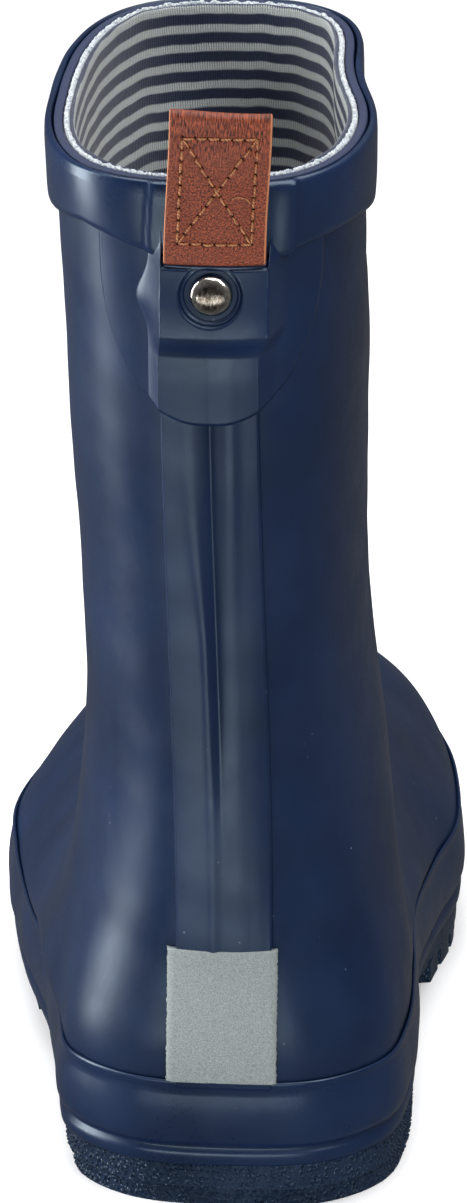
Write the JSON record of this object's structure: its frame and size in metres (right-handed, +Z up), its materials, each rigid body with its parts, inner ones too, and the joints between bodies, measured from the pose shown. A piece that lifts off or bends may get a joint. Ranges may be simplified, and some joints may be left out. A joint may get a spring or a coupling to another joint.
{
  "type": "deck boot",
  "caption": "Child's left rubber deck boot with a striped knit lining, rubber sole, collar band and a leather pull tab riveted into a pocket.",
  "frame": {"origin": "centre of the heel's flat ground face", "axes": "+Z up, +Y towards the toe, +X towards the medial (arch) side of this left boot"},
  "size_m": [0.0923, 0.2226, 0.2219],
  "materials": {
    "navy_rubber": "satin",
    "sole_rubber": "matte",
    "filler_rubber": "matte",
    "board": "matte fibre board",
    "stiffener": "matte",
    "fleece": "raw fleece edge",
    "knit": "navy and grey striped knit",
    "foam": "matte foam",
    "leather": "matte grain",
    "thread": "waxed thread",
    "rivet": "satin",
    "reflector": "retroreflective"
  },
  "bodies": {
    "boot": {"rubber_shell": "navy_rubber", "foxing_strip": "navy_rubber", "outsole": "sole_rubber", "sole_filler": "filler_rubber", "insole_board": "board", "lining_backing": "fleece", "knit_lining": "knit", "heel_counter": "stiffener", "toe_puff": "stiffener", "footbed": "foam", "footbed_cover": "knit", "collar_band": "navy_rubber", "back_strip": "navy_rubber", "heel_shield": "navy_rubber", "tab_pocket": "navy_rubber", "reflective_patch": "reflector", "tab_anchor": "leather", "rivet_cap": "rivet", "rivet_burr": "rivet"},
    "pull_tab": {"pull_tab": "leather", "tab_stitching": "thread"}
  },
  "joints": [
    {"name": "pull_tab_flex", "type": "hinge", "parent": "boot", "child": "pull_tab", "pos_m": [-0.0019, -0.0342, 0.1903], "axis": [1, 0, 0], "range_deg": [0, 60], "stiffness_Nm_per_rad": 0.03}
  ]
}
